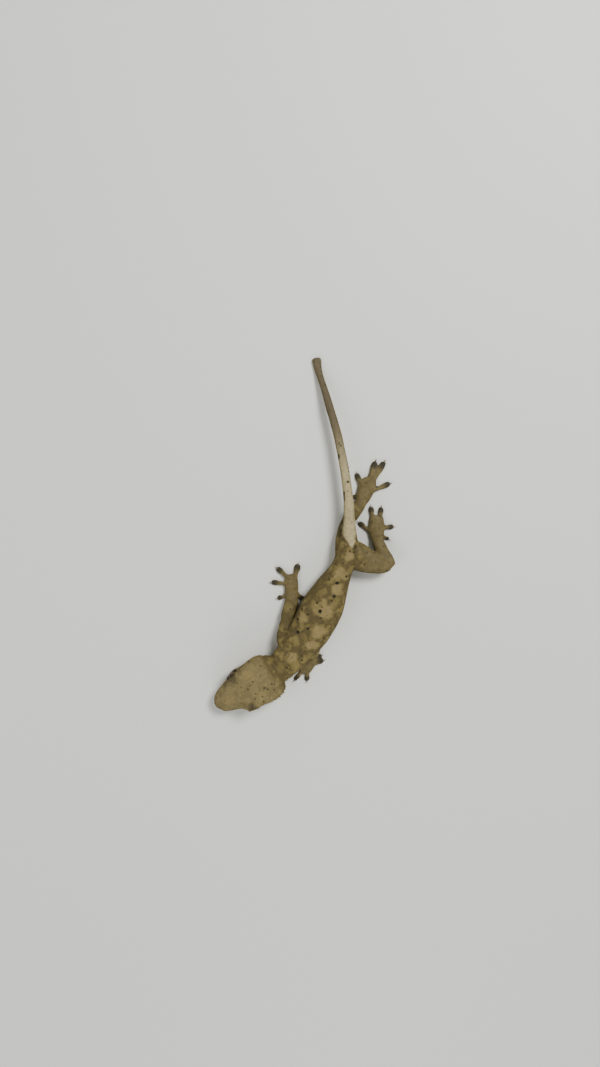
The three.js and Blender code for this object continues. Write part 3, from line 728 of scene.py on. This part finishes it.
def markings(points, normals):
    """The masks of the coat's pattern, and of the shade painted round each eye, at each point: every
    value is from 0 to 1.

    x, y and z are in the measured frame. a and l are ahead and left in the head's frame.
    """
    x, y, z = points.T
    a, l, _ = world_to_head(points).T
    on_head = smooth_step(-18.5, -13.5, a) * (1 - smooth_step(18, 24, np.abs(l)))
    upper = smooth_step(-0.35, 0.35, normals[:, 2])
    warp = turbulence(points + 31.0, 3.0, 3)
    fine = turbulence(points + 77.0, 1.1)
    on_tail = tail_mask(points, warp)
    pale = spots(x, y, PATCHES, 0.35, 1.15, 0.55 * warp + 0.2 * fine)
    on_face = spots(a, l, HEAD_PATCHES, 0.5, 1.1, 0.4 * warp)
    pale = np.maximum(pale, 0.7 * on_head * on_face) * upper * (1 - on_tail)
    fleck = spots(x, y, BODY_FLECKS, 0.6, 1.15, 0.25 * fine) * (z > 4.5)
    tail_fleck = spots(x, y, TAIL_FLECKS, 0.6, 1.15, 0.25 * fine)
    tail_streak = spots(x, y, TAIL_STREAKS, 0.6, 1.1, 0.3 * fine)
    fleck = np.maximum(fleck, np.maximum(tail_fleck, tail_streak) * on_tail) * upper
    head_fleck = spots(a, l, HEAD_FLECKS, 0.6, 1.2, 0.25 * fine)
    fleck = np.maximum(fleck, 0.85 * head_fleck * (z > 7.0))
    # Painted shade: the rims of the lids and the hollow round each eye are darkened with the flecks'
    # colour, so that the eye reads as a dark slit from above
    for centre, out, _, _ in EYES.values():
        along = (points - centre) @ out
        wide = np.linalg.norm(points - centre - along[:, None] * out, axis=1)
        rim = (1 - smooth_step(2.75, 3.9, wide + 0.2 * fine)) * smooth_step(-1.5, 0.0, along)
        fleck = np.maximum(fleck, 0.8 * rim)
    cells = np.array([noise.cell(Vector(p)) for p in (points / SPECK_SIZE).tolist()])
    speck = (np.abs(cells) > SPECK_RARE) * (0.35 + 0.4 * smooth_step(-0.2, 0.4, warp))
    fleck = np.clip(fleck + speck * upper, 0, 1)
    on_leg = np.maximum(smooth_step(0.9, 2.4, beside_body(points)), smooth_step(5.0, 3.0, z))
    on_leg = on_leg * (1 - on_head) * (1 - on_tail) * (0.85 + 0.3 * warp)
    # The brown net runs where two cells of a warped pattern meet
    lines = []
    for p in ((points + 2.0 * warp[:, None]) / NET_SIZE).tolist():
        first, second = noise.voronoi(Vector(p))[0][:2]
        lines.append(second - first)
    net = 1 - smooth_step(0.05, 0.4, np.array(lines))
    net = net * (1 - 0.7 * on_head) * (1 - 0.7 * on_leg)
    brown = 0.6 - 0.6 * smooth_step(0.1, 1.2, np.hypot(a - 2.8, l - 5.0) / 2.6 + 0.3 * warp)
    streak = 1 - smooth_step(0.5, 1.1, np.hypot((a + 6.0) / 3.0, z - 9.4) + 0.3 * warp)
    net = np.maximum(net, on_head * np.maximum(brown, streak * (np.abs(l) > 8.5)))
    digits = [digit for parts in LEGS.values() for digit in parts["digits"]]
    pads = [(*on_digit(digit, PAD_AT), 1.9 * digit[4]) for digit in digits]
    return {
        "head_share": on_head,
        "tail_share": on_tail,
        "tail_run": np.clip(y / TAIL_LENGTH, 0, 1),
        "pale": pale,
        "fleck": fleck,
        "net": net * (1 - pale),
        "leg": np.clip(on_leg, 0, 1),
        "pad": spots(x, y, pads, 0.45, 1.35, 0.2 * fine) * (z < 3.4),
        "under": 1 - smooth_step(-0.75, -0.15, normals[:, 2]),
    }


def mark(mesh, masks, repeat=1):
    """Writes the masks on the mesh's points."""
    for name, values in masks.items():
        layer = mesh.attributes.new(name, "FLOAT", "POINT")
        put(layer.data, "value", np.repeat(values, repeat))


# Scales


def on_lids(point, normal):
    """Whether a point lies on the lids or in the socket of an eye, which have beads of their own."""
    for centre, out, _, _ in EYES.values():
        v = np.array(point) - centre
        along = v @ out
        wide = np.linalg.norm(v - along * out)
        if along > -1.0 and wide < LIDS_WIDE and (wide < 2.5 or np.array(normal) @ out > 0.5):
            return True
    return False


def on_floor(point, normal):
    return point.z < 0.35 and normal.z < -0.3


def tree_of(roots):
    near = KDTree(len(roots))
    for i, root in enumerate(roots):
        near.insert(root.place, i)
    near.balance()
    return near


class Cells:
    """Points kept by cubic cell, to find the ones near a place."""

    def __init__(self, size):
        self.size = size
        self.held = {}

    def cell(self, point):
        return tuple(int(value // self.size) for value in point)

    def add(self, point, owner=None):
        self.held.setdefault(self.cell(point), []).append((point, owner))

    def near(self, point):
        x, y, z = self.cell(point)
        for dx, dy, dz in product((-1, 0, 1), repeat=3):
            yield from self.held.get((x + dx, y + dy, z + dz), ())


def ring_roots(loft, rng):
    """Places for scales in staggered rows round a loft, a little uneven."""
    distance, row = 0.0, 0
    while distance <= loft.length:
        t = loft.share(distance)
        pitch = loft.pitch
        if loft.name == "body":
            pitch = pitch - TAIL_FINER * float(smooth_step(-2, 10, loft.path.at(t)[0, 1]))
        run = run_along(loft.surface(np.full(len(RING), t), RING))
        count = max(int(run[-1] / pitch), 6)
        odd = 0.5 * (row % 2) + rng.normal(0, ROW_ODDS, count)
        angles = np.interp((np.arange(count) + odd) / count % 1 * run[-1], run, RING)
        shares = loft.share(distance + rng.normal(0, ROW_ODDS * pitch, count))
        ahead = loft.frames(shares)[0]
        for spot, way, angle in zip(loft.surface(shares, angles), ahead, angles):
            yield Root(loft, Vector(spot), None, way, pitch, t, angle)
        distance += pitch * ROW_GAP
        row += 1


def skin_roots(lofts, tree, rng):
    """The rows' roots, moved onto the skin. Later lofts keep clear of earlier ones."""
    kept, cells = [], Cells(0.5)
    for name, loft in lofts.items():
        reach = HEAD_REACH if name == "head" else REACH
        for root in ring_roots(loft, rng):
            hit, normal, _, gap = tree.find_nearest(root.place)
            if hit is None or gap > reach or on_floor(hit, normal):
                continue
            if name == "head" and on_lids(hit, normal):
                continue
            if any(
                (other - hit).length < (OWN_GAP if owner == name else OTHER_GAP) * root.pitch
                for other, owner in cells.near(hit)
            ):
                continue
            cells.add(hit, name)
            kept.append(root._replace(place=hit, normal=normal))
    return kept


def spaced(roots, tree):
    """The same roots, each moved a little away from neighbours that crowd it, on the skin."""
    for _ in range(3):
        near = tree_of(roots)
        moved = []
        for root in roots:
            reach = CROWDED * root.pitch
            push = Vector((0, 0, 0))
            for other, _, gap in near.find_n(root.place, NEIGHBOURS + 1):
                if 1e-4 < gap < reach:
                    push += (root.place - other) * ((reach - gap) / gap * PUSH)
            hit, normal, _, _ = tree.find_nearest(root.place + push)
            moved.append(root._replace(place=hit, normal=normal))
        roots = moved
    return roots


def fill_roots(roots, rng, points, normals):
    """Roots for bare spots, such as knees and the ends of toes. Each takes after the nearest."""
    near = tree_of(roots)
    extra, cells = [], Cells(0.6)
    for i in rng.permutation(len(points)):
        point, normal = Vector(points[i]), Vector(normals[i])
        if on_floor(point, normal):
            continue
        _, index, gap = near.find(point)
        root = roots[index]
        if gap < BARE_GAP * root.pitch or on_lids(point, normal):
            continue
        if any((other - point).length < FILL_GAP * root.pitch for other, _ in cells.near(point)):
            continue
        cells.add(point)
        step = np.array(point - root.place)
        distance = root.loft.distance(root.share) + step @ root.way
        share = float(root.loft.share(np.clip(distance, 0, root.loft.length)))
        turn = root.turn + step @ np.cross(root.way, np.array(normal)) / 3.0
        extra.append(root._replace(place=point, normal=normal, share=share, turn=turn))
    return extra


def fitted(roots):
    """The same roots, each with a pitch that follows the distance to its neighbours."""
    near = tree_of(roots)
    result = []
    for root in roots:
        gaps = [gap for _, _, gap in near.find_n(root.place, NEIGHBOURS + 1)][1:]
        pitch = max(sum(gaps) / NEIGHBOURS, LEAST_FIT * root.pitch)
        pitch = min(pitch, MOST_FIT * root.pitch)
        result.append(root._replace(pitch=pitch))
    return result


def scale_roots(lofts, tree, rng, points, normals):
    """Every root of the granular scales, in the order of the lofts."""
    roots = spaced(skin_roots(lofts, tree, rng), tree)
    roots += fill_roots(roots, rng, points, normals)
    order = list(lofts)
    return fitted(sorted(roots, key=lambda root: order.index(root.loft.name)))


def dome(tip, rings):
    """A six-sided scale, as points and faces: its tip, and rings as (radius, height, lean)."""
    points = [tip]
    for radius, high, lean in rings:
        turns = [i * math.pi / 3 for i in range(6)]
        points += [(lean + radius * math.cos(t), radius * math.sin(t), high) for t in turns]
    faces = []
    last = 6 * len(rings) - 5
    for i in range(6):
        j = (i + 1) % 6
        faces.append((0, 1 + i, 1 + j))
        for k in range(1, last, 6):
            faces += [(k + i, k + 6 + i, k + 6 + j), (k + i, k + 6 + j, k + j)]
    faces += [(last, last + i + 1, last + i) for i in range(1, 5)]
    return np.array(points), np.array(faces)


# A low dome with its foot sunk in the skin, and a pointed scale that leans back along its own x
SCALE = dome((0, 0, 1.0), ((0.62, 0.78, 0.0), (1.0, -0.35, 0.0)))
SPINE = dome((0.75, 0, 1.0), ((0.5, 0.62, 0.3), (0.92, 0.18, 0.05), (1.0, -0.4, 0.0)))


def joined(name, template, centres, normals, ways, sizes, places):
    """One mesh of many copies of a template. sizes are (length, width, height) of each copy."""
    shape, faces = template
    count, per = len(centres), len(shape)
    normals = unit(normals)
    ways = unit(ways - normals * np.sum(ways * normals, axis=1, keepdims=True))
    points = centres[:, None, :]
    for i, axis in enumerate((ways, np.cross(normals, ways), normals)):
        points = points + shape[None, :, i : i + 1] * sizes[:, None, i : i + 1] * axis[:, None, :]
    points = points.reshape(-1, 3)
    corners = (faces[None, :, :] + per * np.arange(count)[:, None, None]).reshape(-1)
    mesh = bpy.data.meshes.new(name)
    total = count * len(faces)
    mesh.vertices.add(len(points))
    mesh.loops.add(total * 3)
    mesh.polygons.add(total)
    put(mesh.vertices, "co", points)
    put(mesh.loops, "vertex_index", corners, np.int32)
    put(mesh.polygons, "loop_start", np.arange(0, total * 3, 3), np.int32)
    mesh.update(calc_edges=True)
    # Each copy's patch of the bake map, at its root's place on the unwrap
    spread = shape[:, :2] / (2 * np.abs(shape[:, :2]).max())
    patch = (places[:, None, :] + PATCH * spread[None, :, :]).reshape(-1, 2)[corners]
    put(mesh.uv_layers.new(name="OFBake").data, "uv", patch)
    root = mesh.attributes.new("root", "FLOAT_VECTOR", "POINT")
    put(root.data, "vector", np.repeat(to_row(centres), per, axis=0))
    return mesh


def bake_strips(lofts):
    """Where each loft's strip lies on the bake map: (left, bottom, right, top)."""
    strips = {
        "body": (0.02, 0.02, 0.56, 0.40),
        "head": (0.58, 0.02, 0.98, 0.40),
        "crest_left": (0.02, 0.42, 0.20, 0.47),
        "crest_right": (0.22, 0.42, 0.40, 0.47),
    }
    for kinds, base, columns, step, size in STRIP_GRIDS:
        names = [name for name in lofts if any(kind in name for kind in kinds)]
        for i, name in enumerate(names):
            x, y = 0.02 + step[0] * (i % columns), base + step[1] * (i // columns)
            strips[name] = (x, y, x + size[0], y + size[1])
    return strips


def on_strip(strip, along, across):
    left, low, right, high = strip
    return left + (right - left) * along, low + (high - low) * across


def coat_piece(name, template, rows, material, plain=False):
    """A finished piece of scales. A row is (centre, normal, way, sizes, place on the bake map)."""
    arrays = [np.array([row[i] for row in rows], float) for i in range(5)]
    mesh = joined(name, template, *arrays)
    centres, normals = arrays[:2]
    masks = markings(centres, np.tile(UP, (len(rows), 1)) if plain else normals)
    if plain:
        masks["fleck"] *= 0
    mark(mesh, masks, len(template[0]))
    mesh.materials.append(material)
    finish_piece(new_object(name, mesh))


def lid_hit(tree, eye, x, y):
    """Where the skin lies over a spot x ahead of an eye's centre and y above it, and its normal."""
    centre, out, ahead, up = eye
    origin = centre + out * 6 + ahead * x + up * y
    return tree.ray_cast(Vector(origin), Vector(-out))[:2]


# Materials


def feed(node, inputs):
    """Sets a node's inputs to values, or links them to sockets."""
    for key, value in inputs.items():
        if isinstance(value, bpy.types.NodeSocket):
            node.id_data.links.new(value, node.inputs[key])
        else:
            node.inputs[key].default_value = value


def node_of(tree, kind, inputs, **values):
    """A new node, set out in rows of eight."""
    node = tree.nodes.new(kind)
    count = len(tree.nodes)
    node.location = (240 * (count % 8), -320 * (count // 8))
    for key, value in values.items():
        setattr(node, key, value)
    feed(node, inputs)
    return node


def ramp(tree, value, low, high):
    """A smooth step from 0 to 1 as a socket's value goes from low to high."""
    inputs = {"Value": value, "From Min": low, "From Max": high}
    node = node_of(tree, "ShaderNodeMapRange", inputs, interpolation_type="SMOOTHSTEP")
    return node.outputs["Result"]


def spread_out(tree, value, low, high):
    """A socket's value from 0 to 1, stretched to run from low to high."""
    inputs = {"Value": value, "To Min": low, "To Max": high}
    return node_of(tree, "ShaderNodeMapRange", inputs).outputs["Result"]


def mixed(tree, factor, first, second):
    """A mix of two colours, given as hex digits or as sockets, by a socket."""
    colours = [srgb(each) if isinstance(each, str) else each for each in (first, second)]
    inputs = {"Factor": factor, 6: colours[0], 7: colours[1]}
    return node_of(tree, "ShaderNodeMix", inputs, data_type="RGBA").outputs[2]


def noise_of(tree, place, scale, detail, distortion=0.0):
    inputs = {"Vector": place, "Scale": scale, "Detail": detail, "Distortion": distortion}
    return node_of(tree, "ShaderNodeTexNoise", inputs).outputs["Fac"]


def pattern_group():
    """The animal's markings: the masks mix the coat's colours, and noise breaks them up."""
    group = bpy.data.node_groups.new("Gecko markings", "ShaderNodeTree")
    sockets = [("Place", "INPUT", "Vector")]
    sockets += [(name, "INPUT", "Float") for name in MASKS]
    sockets += [("Color", "OUTPUT", "Color")]
    sockets += [("Roughness", "OUTPUT", "Float"), ("Height", "OUTPUT", "Float")]
    for name, way, kind in sockets:
        group.interface.new_socket(name, in_out=way, socket_type=f"NodeSocket{kind}")
    given = node_of(group, "NodeGroupInput", {}).outputs
    broad = ramp(group, noise_of(group, given["Place"], 170, 3), 0.35, 0.65)
    small = ramp(group, noise_of(group, given["Place"], 900, 2), 0.3, 0.7)
    tail = mixed(group, ramp(group, given["tail_run"], 0.32, 0.72), *TAIL_COLOURS)
    colour = mixed(group, broad, *GROUND)
    for mask, over in OVERLAYS:
        colour = mixed(group, given[mask], colour, over or tail)
    tone = {0: colour, "Scale": spread_out(group, small, 0.86, 1.12)}
    shade = node_of(group, "ShaderNodeVectorMath", tone, operation="SCALE")
    rough = spread_out(group, small, 0.5, 0.68)
    results = {"Color": shade.outputs["Vector"], "Roughness": rough, "Height": small}
    node_of(group, "NodeGroupOutput", results)
    return group


def surface_material(name, inputs):
    """A material with a Principled surface, and that surface's node."""
    material = bpy.data.materials.new(name)
    material.use_nodes = True
    shader = material.node_tree.nodes["Principled BSDF"]
    feed(shader, inputs)
    return material, shader


def plain_material(name, colour, roughness):
    inputs = {"Base Color": srgb(colour), "Roughness": roughness}
    return surface_material(name, inputs)[0]


def coat_material(name, by_root=True):
    """Shows the markings at each point's own place, or at the root of the scale that it is on."""
    material, shader = surface_material(name, {"Specular IOR Level": 0.35})
    tree = material.node_tree
    if by_root:
        place = node_of(tree, "ShaderNodeAttribute", {}, attribute_name="root").outputs["Vector"]
    else:
        place = node_of(tree, "ShaderNodeTexCoord", {}).outputs["Object"]
    inputs = {"Place": place}
    for mask in MASKS:
        inputs[mask] = node_of(tree, "ShaderNodeAttribute", {}, attribute_name=mask).outputs["Fac"]
    marks = node_of(tree, "ShaderNodeGroup", {}, node_tree=made["group"])
    feed(marks, inputs)
    height = {"Strength": 0.25, "Distance": 0.0001, "Height": marks.outputs["Height"]}
    relief = node_of(tree, "ShaderNodeBump", height)
    feed(shader, {"Base Color": marks.outputs["Color"], "Roughness": marks.outputs["Roughness"]})
    feed(shader, {"Normal": relief.outputs["Normal"]})
    return material


def eye_material():
    """Bronze iris with a dark net round an upright, wavy pupil, under a wet gloss."""
    gloss = {"IOR": 1.2, "Specular IOR Level": 0.2, "Coat IOR": 1.33, "Coat Roughness": 0.03}
    material, shader = surface_material("Eye", gloss)
    tree = material.node_tree
    uv = node_of(tree, "ShaderNodeUVMap", {}, uv_map="Iris").outputs["UV"]
    parts = node_of(tree, "ShaderNodeSeparateXYZ", {0: uv}).outputs

    def number(kind, *values):
        inputs = dict(enumerate(values))
        return node_of(tree, "ShaderNodeMath", inputs, operation=kind).outputs[0]

    x = number("SUBTRACT", parts["X"], 0.5)
    y = number("SUBTRACT", parts["Y"], 0.5)
    x_square = number("MULTIPLY", x, x)
    y_square = number("MULTIPLY", y, y)
    # The pupil's half width: a wave, narrower to its ends
    wave = number("SINE", number("MULTIPLY", y, 62.0))
    width = number("MULTIPLY_ADD", wave, 0.006, 0.034)
    width = number("MULTIPLY_ADD", y_square, -0.42, width)
    slit = ramp(tree, number("SUBTRACT", number("ABSOLUTE", x), width), -0.006, 0.008)
    threads = ramp(tree, noise_of(tree, uv, 26, 6, 1.4), 0.42, 0.6)
    edge = ramp(tree, number("SQRT", number("ADD", x_square, y_square)), 0.33, 0.42)
    iris = mixed(tree, threads, "1d160c", "66543a")
    iris = mixed(tree, edge, iris, "1a140b")
    rough = number("MULTIPLY_ADD", edge, 0.5, 0.12)
    wet = number("MULTIPLY_ADD", edge, -0.8, 0.8)
    colour = mixed(tree, slit, "050403", iris)
    feed(shader, {"Base Color": colour, "Roughness": rough, "Coat Weight": wet})
    return material


# Pieces, and the add-on's classes


def finish_piece(obj, nodes=()):
    """Puts a finished piece in the row's frame, hangs it on the frame's root, and hides the solids
    that it stands for.
    """
    set_points(obj.data, to_row(mesh_points(obj.data)))
    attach(obj, "root")
    if nodes:
        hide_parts(*nodes)


class GeckoSettings(bpy.types.PropertyGroup):
    scale_height: bpy.props.FloatProperty(
        name="Scale height",
        description="Height of a scale as a share of its pitch",
        default=0.26,
        min=0.05,
        max=0.6,
    )
    scale_spread: bpy.props.FloatProperty(
        name="Scale spread",
        description="Half width of a scale as a share of its pitch",
        default=0.53,
        min=0.3,
        max=0.7,
    )


class GECKO_OT_skin(bpy.types.Operator):
    """Build the one skin over the flesh solids"""

    bl_idname = "gecko.skin"
    bl_label = "Skin"

    def execute(self, context):
        made["lofts"] = all_lofts()
        skin = build_skin(made["lofts"])
        obj = new_object("skin", skin)
        points = mesh_points(skin)
        mark(skin, markings(points, mesh_normals(skin)))
        faces = [list(p.vertices) for p in skin.polygons]
        made["tree"] = BVHTree.FromPolygons(points.tolist(), faces)
        made["group"] = pattern_group()
        skin.materials.append(coat_material("Skin", by_root=False))
        flesh = [f"{leg}_{part}" for leg in LEGS for part in LEG_PARTS]
        finish_piece(obj, [*BODY_NODES, *flesh])
        return {"FINISHED"}


class GECKO_OT_scales(bpy.types.Operator):
    """Set granular scales in rows over the skin"""

    bl_idname = "gecko.scales"
    bl_label = "Scales"

    def execute(self, context):
        settings = context.scene.gecko
        shares = np.array([settings.scale_spread, settings.scale_spread, settings.scale_height])
        rng = np.random.default_rng(SEED)
        skin = bpy.data.objects["skin"].data
        points, normals = from_row(mesh_points(skin)), mesh_normals(skin)
        roots = scale_roots(made["lofts"], made["tree"], rng, points, normals)
        strips = bake_strips(made["lofts"])
        material = coat_material("Scales")
        for title, starts in COATS.items():
            found = [root for root in roots if root.loft.name.startswith(starts)]
            total = math.ceil(len(found) / PIECE_LIMIT)
            for part in range(total):
                items = found[part * len(found) // total : (part + 1) * len(found) // total]
                odd = rng.uniform(0.9, 1.12, (len(items), 3))
                rows = []
                for root, each in zip(items, odd):
                    loft = root.loft
                    along = loft.distance(root.share) / loft.length
                    place = on_strip(strips[loft.name], along, root.turn % TURN / TURN)
                    sizes = root.pitch * each * shares
                    rows.append((root.place, root.normal, root.way, sizes, place))
                name = title if total == 1 else f"{title}_{part + 1}"
                coat_piece(name, SCALE, rows, material)
        return {"FINISHED"}


class GECKO_OT_crest(bpy.types.Operator):
    """Set the spines of the crest, from over each eye to the back of the head"""

    bl_idname = "gecko.crest"
    bl_label = "Crest"

    def execute(self, context):
        rng = np.random.default_rng(SEED + 1)
        lofts, tree = made["lofts"], made["tree"]
        strips = bake_strips(lofts)
        rows = []
        for side, sign in (("left", 1), ("right", -1)):
            loft, strip = lofts[f"crest_{side}"], strips[f"crest_{side}"]
            # Lashes of the brow stand along the upper lid
            _, out, ahead, up = EYES[side]
            for turn in LASH_TURNS:
                cos, sin = math.cos(turn), math.sin(turn)
                hit, _ = lid_hit(tree, EYES[side], 3.05 * cos, 2.8 * sin)
                if hit is None:
                    continue
                fan = ahead * cos * 0.5 + up * sin + out * 0.8
                size = (0.17 + 0.09 * sin) * rng.uniform(0.85, 1.2)
                place = on_strip(strip, 0.25 - 0.05 * cos, 0.5)
                rows.append((hit, fan, -ahead, (size, size, 3.0 * size), place))
            # Spines of the ridge behind it
            angle = math.pi - 0.5 if sign > 0 else 0.5
            for distance, shift, full in CREST_ROWS:
                turn = angle + sign * shift * 1.2
                while distance < loft.length - 0.5:
                    share = distance / loft.length
                    t = np.array([loft.share(distance)])
                    spot = loft.surface(t, np.array([turn]))[0]
                    hit, normal, _, _ = tree.find_nearest(Vector(spot))
                    size = (0.27 + 0.2 * share) * rng.uniform(0.75, 1.25)
                    size *= full
                    way = loft.frames(t)[0][0] + 0.4 * np.array(normal)
                    sizes = (size, size * 0.8, size * 2.3)
                    rows.append((hit, normal, way, sizes, on_strip(strip, share, 0.5)))
                    distance += size * rng.uniform(1.8, 2.9)
        coat_piece("crest_spines", SPINE, rows, coat_material("Crest"), plain=True)
        return {"FINISHED"}


class GECKO_OT_lips(bpy.types.Operator):
    """Set the large scales along both lips and the beads round the eyes"""

    bl_idname = "gecko.lips"
    bl_label = "Lips and lids"

    def execute(self, context):
        tree = made["tree"]
        strip = bake_strips(made["lofts"])["head"]
        rows = []
        # Along the lips: rays come in from the side, and round the muzzle from in front
        for over, length in LIP_ROWS:
            for aim in np.arange(-19.0, 19.01, length * 0.92):
                turn = HALF_PI * min(max(aim / MUZZLE_TURN, -1), 1)
                middle = 8.6 - max(abs(aim) - MUZZLE_TURN, 0) * 1.15
                start = (middle + 14 * math.cos(turn), 14 * math.sin(turn))
                high = mouth_at(middle) + over
                origin, target = head_to_world([(*start, high), (middle, 0, high)])
                hit, normal, _, _ = tree.ray_cast(Vector(origin), Vector(target - origin))
                if hit is None:
                    continue
                size = length * (0.56 if abs(aim) < 12 else 0.46)
                place = on_strip(strip, 0.5 + 0.02 * aim, 0.3)
                rows.append((hit, normal, np.cross(UP, np.array(normal)), (size, 0.36, 0.17), place))
        # Round each eye: beads on the lids
        for side, eye in EYES.items():
            _, _, ahead, up = eye
            for ring, wide in enumerate(LID_RINGS):
                count = int(TURN * wide / 0.42)
                for turn in (np.arange(count) + 0.5 * (ring % 2)) * 2 * math.pi / count:
                    cos, sin = math.cos(turn), math.sin(turn)
                    hit, normal = lid_hit(tree, eye, wide * cos, 0.91 * wide * sin - LIDS_LOW)
                    if hit is None:
                        continue
                    sizes = (0.23, 0.2, 0.2 if ring == 0 else 0.12)
                    place = on_strip(strip, 0.42 + 0.01 * ring, 0.2 if side == "left" else 0.8)
                    rows.append((hit, normal, -ahead * sin + up * cos, sizes, place))
        coat_piece("lip_scales", SCALE, rows, coat_material("Lips"))
        return {"FINISHED"}


class GECKO_OT_eyes(bpy.types.Operator):
    """Set the two eyeballs in their sockets"""

    bl_idname = "gecko.eyes"
    bl_label = "Eyes"

    def execute(self, context):
        material = eye_material()
        for side, (centre, out, ahead, up) in EYES.items():
            work = bmesh.new()
            bmesh.ops.create_uvsphere(work, u_segments=48, v_segments=32, radius=1.0)
            for vert in work.verts:
                x, y, z = vert.co
                bulge = 1 + 0.035 * float(smooth_step(0.5, 1.0, z))
                spot = (ahead * x + up * y + out * z) * EYE_RADIUS * bulge
                vert.co = Vector(centre + spot)
            layer = work.loops.layers.uv.new("Iris")
            for face in work.faces:
                for loop in face.loops:
                    v = (np.array(loop.vert.co) - centre) / EYE_RADIUS
                    loop[layer].uv = (0.5 + 0.5 * float(v @ ahead), 0.5 + 0.5 * float(v @ up))
            bmesh.ops.recalc_face_normals(work, faces=work.faces)
            mesh = made_mesh(f"eyeball_{side}", work)
            mesh.materials.append(material)
            finish_piece(new_object(f"eyeball_{side}", mesh), [f"eye_{side}"])
        return {"FINISHED"}


class GECKO_OT_claws(bpy.types.Operator):
    """Set a small hooked claw on each digit"""

    bl_idname = "gecko.claws"
    bl_label = "Claws"

    def execute(self, context):
        material = plain_material("Claw", "5b503c", 0.35)
        for leg, parts in LEGS.items():
            name = f"{leg}_claws"
            claws = [Loft("claw", claw_stations(digit)) for digit in parts["digits"]]
            mesh = loft_mesh(name, claws)
            mesh.materials.append(material)
            nodes = [f"{leg}_claw_{i + 1}" for i in range(len(claws))]
            finish_piece(new_object(name, mesh), nodes)
        return {"FINISHED"}


class GECKO_OT_stage(bpy.types.Operator):
    """Set the floor, the lights and the camera"""

    bl_idname = "gecko.stage"
    bl_label = "Stage"

    def execute(self, context):
        scene = context.scene
        work = bmesh.new()
        bmesh.ops.create_grid(work, x_segments=1, y_segments=1, size=15.0)
        mesh = made_mesh("Floor", work)
        mesh.materials.append(plain_material("Floor", "bcbcb6", 0.6))
        floor = new_object("floor", mesh, smooth=False)
        for name, place, size, power in LAMPS:
            light = bpy.data.lights.new(name, "AREA")
            light.shape = "DISK"
            light.size = size
            light.energy = power
            lamp = bpy.data.objects.new(name, light)
            scene.collection.objects.link(lamp)
            lamp.location = place
            lamp.rotation_euler = (-Vector(place)).to_track_quat("-Z", "Y").to_euler()
        world = bpy.data.worlds.new("Studio")
        world.use_nodes = True
        sky = {"Color": (0.94, 0.95, 0.96, 1), "Strength": 0.45}
        feed(world.node_tree.nodes["Background"], sky)
        scene.world = world
        # The photo's own view: one pixel of it spans MM_PER_PIXEL at the animal
        away = MM_PER_PIXEL * PHOTO_HIGH * LENS / SENSOR
        data = bpy.data.cameras.new("Camera")
        data.lens = LENS
        data.sensor_width = SENSOR
        data.clip_start = 0.005
        camera = bpy.data.objects.new("Camera", data)
        camera.location = to_row([0, away * math.sin(TILT), away * math.cos(TILT)])
        camera.rotation_euler = (-TILT, 0, 0)
        scene.collection.objects.link(camera)
        scene.camera = camera
        scene.view_settings.view_transform = "AgX"
        scene.view_settings.look = "AgX - Medium High Contrast"
        return {"FINISHED"}


class GECKO_PT_panel(bpy.types.Panel):
    """Builds each group of pieces"""

    bl_idname = "GECKO_PT_panel"
    bl_label = "Crested gecko"
    bl_space_type = "VIEW_3D"
    bl_region_type = "UI"
    bl_category = "Gecko"

    def draw(self, context):
        layout = self.layout
        layout.prop(context.scene.gecko, "scale_height")
        layout.prop(context.scene.gecko, "scale_spread")
        for operator in OPERATORS:
            layout.operator(operator.bl_idname)


OPERATORS = (
    GECKO_OT_skin,
    GECKO_OT_scales,
    GECKO_OT_crest,
    GECKO_OT_lips,
    GECKO_OT_eyes,
    GECKO_OT_claws,
    GECKO_OT_stage,
)
CLASSES = (GeckoSettings, *OPERATORS, GECKO_PT_panel)


def register():
    for each in CLASSES:
        bpy.utils.register_class(each)
    bpy.types.Scene.gecko = bpy.props.PointerProperty(type=GeckoSettings)


def unregister():
    del bpy.types.Scene.gecko
    for each in reversed(CLASSES):
        bpy.utils.unregister_class(each)


def main():
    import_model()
    register()
    bpy.ops.gecko.skin()
    bpy.ops.gecko.scales()
    bpy.ops.gecko.crest()
    bpy.ops.gecko.lips()
    bpy.ops.gecko.eyes()
    bpy.ops.gecko.claws()
    bpy.ops.gecko.stage()


if __name__ == "__main__":
    main()
